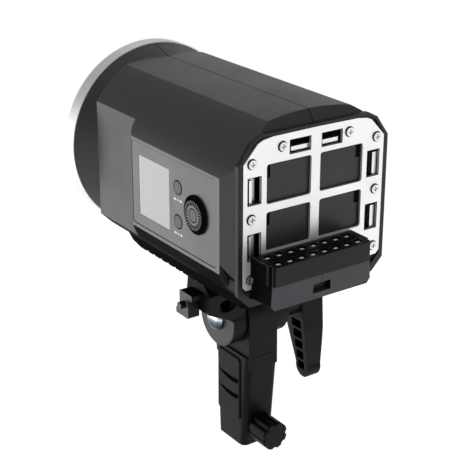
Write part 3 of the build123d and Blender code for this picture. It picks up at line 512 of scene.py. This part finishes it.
def strip(work, start, end, width, height):
    """A thin flat bar from start to end in the plane X = 0, its width along X."""
    along = (end - start).normalized()
    lift = Vector((0, -along.z, along.y)) * (height / 2)
    if lift.z < 0:
        lift.negate()
    side = Vector((width / 2, 0, 0))
    corners = [side * across + lift * up for across, up in ((-1, -1), (1, -1), (1, 1), (-1, 1))]
    prism(work, [start + corner for corner in corners], [end + corner for corner in corners])


# ---- fine detail of the casing and the control panel ---------------------------------------
def top_seam(work):
    """The fine mould line where the two shells meet, from the front collar to the rear bezel."""
    width, height = 0.45 * MM, 0.1 * MM
    collar_z, crown_z, bezel_z = (light_z + rise * MM for rise in (61.75, 56.9, 49.9))
    points = [
        Vector((0, ring_high.y + 0.2 * MM, collar_z)),
        Vector((0, plate_y - 152.3 * MM, crown_z)),
        Vector((0, plate_y - 7.86 * MM, crown_z)),
        Vector((0, plate_y - 3.2 * MM, bezel_z)),
    ]
    for start, end in zip(points, points[1:]):
        strip(work, start, end, width, height)


def overlay_outline(work):
    """The dark line where the overlay sits in its pocket, its corners in steps of 15 degrees."""
    width, corner, lift = 0.32 * MM, 2.5 * MM, 0.04 * MM
    rear_y, front_y = overlay_high.y - corner, overlay_low.y + corner
    upper_z, lower_z = overlay_high.z - corner, overlay_low.z + corner
    centres = ((rear_y, upper_z), (front_y, upper_z), (front_y, lower_z), (rear_y, lower_z))
    loops = []
    for inset, height in ((0, -2 * lift), (0, lift), (width, lift), (width, -2 * lift)):
        radius = corner - inset
        loop = []
        for turn, (y, z) in enumerate(centres):
            for step in range(7):
                angle = math.radians(90 * turn + 15 * step)
                across, up = radius * math.cos(angle), radius * math.sin(angle)
                loop.append(work.verts.new((overlay_high.x + height, y + across, z + up)))
        loops.append(loop)
    join_loops(work, loops)


def button_marks(work):
    """Generic white marks under the two buttons: a dot between two dashes."""
    drop, proud, thickness, height = 7.6 * MM, 0.03 * MM, 0.08 * MM, 1.3 * MM
    for spot in button_spots:
        for shift, length in ((-3.0, 2.6), (0, 1.2), (3.0, 2.6)):
            middle = Vector((overlay_high.x + proud, spot.y + shift * MM, spot.z - drop))
            rounded_bar(work, middle, (thickness, length * MM, height))


def dial_teeth(work):
    """Black grip teeth on the flat edge of the dial's face, each wider at its outer end."""
    count, lift = 26, Vector((0.06 * MM, 0, 0))
    inner, inner_half, outer, outer_half = 5.7 * MM, 0.3 * MM, 7.6 * MM, 0.68 * MM
    hub = Vector((dial_high.x, dial_mid.y, dial_mid.z))
    for tooth in range(count):
        angle = 2 * math.pi * tooth / count
        radial = Vector((0, math.cos(angle), math.sin(angle)))
        across = Vector((0, -math.sin(angle), math.cos(angle)))
        outline = [
            hub + radial * reach + across * offset
            for reach, offset in (
                (inner, -inner_half), (inner, inner_half), (outer, outer_half), (outer, -outer_half),
            )
        ]
        prism(work, [point - lift for point in outline], [point + lift for point in outline])


# ---- fine detail of the battery dock -------------------------------------------------------
# Places on the plate are mm across and up from the light axis, and each one is mirrored.
screw_spots = [(23.6, 41.2), (44.05, 34.7), (44.3, 2.8), (44.5, -33.0)]
side_slots, side_slot_size = [(42.2, 18.95), (42.2, -13.9)], (9.0, 15.8)
top_slot, top_slot_size = (11.2, 39.8), (14.6, 8.0)


def screw_clearances(work):
    """The dark clearance ring round each plate screw."""
    inner, outer, height = 2.62 * MM, 3.15 * MM, 0.12 * MM
    for x, z in screw_spots:
        for side in (1, -1):
            middle = Vector((side * x * MM, plate_y, light_z + z * MM))
            washer(work, middle, inner, outer, height)


def slot_frames(work):
    """The dark edge of each latch slot in the battery plate."""
    line, lift = 0.42 * MM, 0.1 * MM
    slots = [(spot, side_slot_size) for spot in side_slots] + [(top_slot, top_slot_size)]
    for (x, z), (width, height) in slots:
        for side in (1, -1):
            centre_x, centre_z = side * x * MM, light_z + z * MM
            for edge in (-0.5, 0.5):
                upright = Vector((centre_x + edge * width * MM, plate_y, centre_z))
                rounded_bar(work, upright, (line, lift, height * MM))
                level = Vector((centre_x, plate_y, centre_z + edge * height * MM))
                rounded_bar(work, level, (width * MM, lift, line))


def tongue_lines(work):
    """The dark fold line along the lip of each upright latch tongue on the panel's side."""
    fold_x, fold_z, depth = 2.8, -0.8, 1.6 * MM  # from the middle of the slot
    size = (0.6 * MM, 0.1 * MM, 13.4 * MM)
    for x, z in side_slots:
        middle = Vector(((x + fold_x) * MM, plate_y - depth, light_z + (z + fold_z) * MM))
        rounded_bar(work, middle, size)


def housing_seam(work):
    """The mould line down the middle of the connector housing's face, above its small window."""
    _, high, middle = span("connector_housing")
    foot, head = light_z - 35.6 * MM, light_z - 31.3 * MM
    spot = Vector((middle.x, high.y, (foot + head) / 2))
    rounded_bar(work, spot, (0.3 * MM, 0.1 * MM, head - foot))


piece("top_seam_line", top_seam, black_and_painted_shade, "head")
piece("housing_seam", housing_seam, tray_black_and_painted_shade, "head")
piece("dial_teeth", dial_teeth, tray_black_and_painted_shade, "dial")
piece("overlay_outline", overlay_outline, grey, "head")
piece("button_marks", button_marks, marking, "head")
piece("screw_clearances", screw_clearances, black_and_painted_shade, "head")
piece("slot_frames", slot_frames, black_and_painted_shade, "head")
piece("tongue_lines", tongue_lines, tray_black_and_painted_shade, "head")


# ---- floor, light and camera ---------------------------------------------------------------
floor_half_size = 60.0  # metres, so that its edge is near the horizon
floor_drop = 0.45  # metres below the part, so that no shadow shows
floor_glow = 0.62
sky_strength = 0.40

floor_mesh = bpy.data.meshes.new("floor")
floor_work = bmesh.new()
bmesh.ops.create_grid(floor_work, x_segments=2, y_segments=2, size=floor_half_size)
floor_work.to_mesh(floor_mesh)
floor_work.free()
floor = bpy.data.objects.new("floor", floor_mesh)
floor.location.z = cad_bounds[0][2] - floor_drop
scene.collection.objects.link(floor)
floor_surface = Surface("pale_floor", 0.9)
floor_surface.colour((0.92, 0.92, 0.92), (0.94, 0.94, 0.94), scale=2)
floor_surface.gloss(0.85, 0.95, scale=3)
floor_surface.shader.inputs["Emission Color"].default_value = (1, 1, 1, 1)
floor_surface.shader.inputs["Emission Strength"].default_value = floor_glow
floor_mesh.materials.append(floor_surface.material)

world = bpy.data.worlds.new("studio")
world.use_nodes = True
sky = world.node_tree.nodes["Background"]
sky.inputs["Color"].default_value = (1, 1, 1, 1)
sky.inputs["Strength"].default_value = sky_strength
scene.world = world
scene.view_settings.view_transform = "Standard"

body_centre = Vector((0, -0.01, light_z))


def soft_light(name, towards, distance, size, power):
    """A soft box that faces the body from one direction; sizes in metres, power in watts."""
    light = bpy.data.lights.new(name, "AREA")
    light.shape = "RECTANGLE"
    light.size, light.size_y = size
    light.energy = power
    made = bpy.data.objects.new(name, light)
    outward = Vector(towards).normalized()
    made.location = body_centre + distance * outward
    made.rotation_euler = (-outward).to_track_quat("-Z", "Y").to_euler()
    made.visible_camera = False
    scene.collection.objects.link(made)


soft_light("side_box", (0.60, -0.70, -0.20), distance=1.1, size=(0.8, 0.7), power=3.2)
soft_light("top_box", (-0.53, -0.76, 0.42), distance=1.2, size=(1.0, 0.6), power=0.8)
soft_light("plate_box", (-0.53, 0.76, -0.30), distance=1.0, size=(0.8, 0.7), power=1.6)
soft_light("overhead", (0.1, 0.0, 1.0), distance=1.8, size=(2.4, 2.4), power=8)

# The photograph's viewpoint, from a camera fitted to it. The azimuth counts from +Y towards +X.
view_azimuth, view_elevation = math.radians(34.76), math.radians(21.66)
view_distance = 0.7549
view_target = Vector((0.0194, 0.0067, 0.1521))
outwards = Vector((
    math.sin(view_azimuth) * math.cos(view_elevation),
    math.cos(view_azimuth) * math.cos(view_elevation),
    math.sin(view_elevation),
))
camera_data = bpy.data.cameras.new("camera")
camera_data.lens = 100
camera_data.sensor_width = 36
camera = bpy.data.objects.new("camera", camera_data)
camera.location = view_target + view_distance * outwards
camera.rotation_euler = (-outwards).to_track_quat("-Z", "Y").to_euler()
scene.collection.objects.link(camera)
scene.camera = camera
